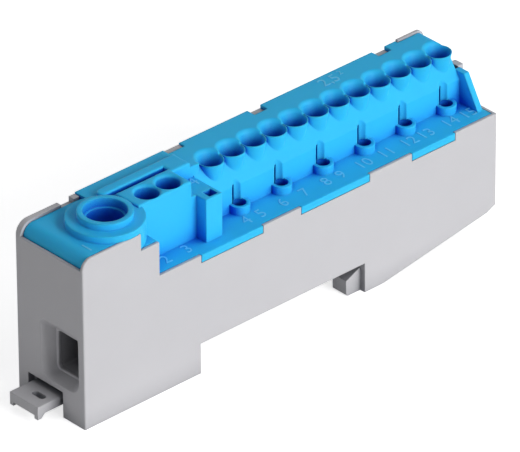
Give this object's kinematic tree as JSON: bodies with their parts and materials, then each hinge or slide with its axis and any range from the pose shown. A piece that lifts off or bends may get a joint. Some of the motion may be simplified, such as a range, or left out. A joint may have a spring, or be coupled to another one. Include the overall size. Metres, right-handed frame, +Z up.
{
  "type": "neutral terminal block",
  "caption": "Rail-mounted terminal block with one screw clamp for a thick wire and a row of push-in funnels for thin wires.",
  "frame": {"origin": "on the underside plane, below the middle of the rail gap and at half the depth", "axes": "+X along the body away from the wire entry, +Y along the rail from the front face to the back face, +Z up away from the rail"},
  "size_m": [0.0938, 0.0158, 0.0332],
  "materials": {
    "grey_moulding": "fine matt moulded plastic",
    "blue_moulding": "smooth moulded plastic, slight sheen",
    "grey_foot": "fine matt moulded plastic",
    "plated_steel": "zinc plated",
    "screw_steel": "zinc plated, turned",
    "contact_metal": "rolled copper alloy",
    "spring_steel": "rolled spring steel"
  },
  "bodies": {
    "block": {"housing": "grey_moulding", "cover": "blue_moulding", "contact_bar": "contact_metal", "clip_spring_2": "spring_steel", "clip_spring_3": "spring_steel", "clip_spring_4": "spring_steel", "clip_spring_5": "spring_steel", "clip_spring_6": "spring_steel", "clip_spring_7": "spring_steel", "clip_spring_8": "spring_steel", "clip_spring_9": "spring_steel", "clip_spring_10": "spring_steel", "clip_spring_11": "spring_steel", "clip_spring_12": "spring_steel", "clip_spring_13": "spring_steel", "clip_spring_14": "spring_steel", "clip_spring_15": "spring_steel"},
    "foot": {"rail_foot": "grey_foot"},
    "cage": {"clamp_cage": "plated_steel"},
    "screw": {"clamp_screw": "screw_steel"}
  },
  "joints": [
    {"name": "foot_slide", "type": "slide", "parent": "block", "child": "foot", "axis": [-1, 0, 0], "range_m": [0, 0.003], "stiffness_N_per_m": 2000, "springref_m": -0.0006},
    {"name": "screw_turn", "type": "hinge", "parent": "block", "child": "screw", "pos_m": [-0.0318, -0.0015, 0.0261], "axis": [0, 0, -1], "range_deg": [0, 1981]},
    {"name": "cage_lift", "type": "slide", "parent": "block", "child": "cage", "axis": [0, 0, 1], "range_m": [0, 0.0055]}
  ],
  "couplings": [
    {"joint": "screw_turn", "follows": "cage_lift", "rad_per_m": 6283.2}
  ]
}
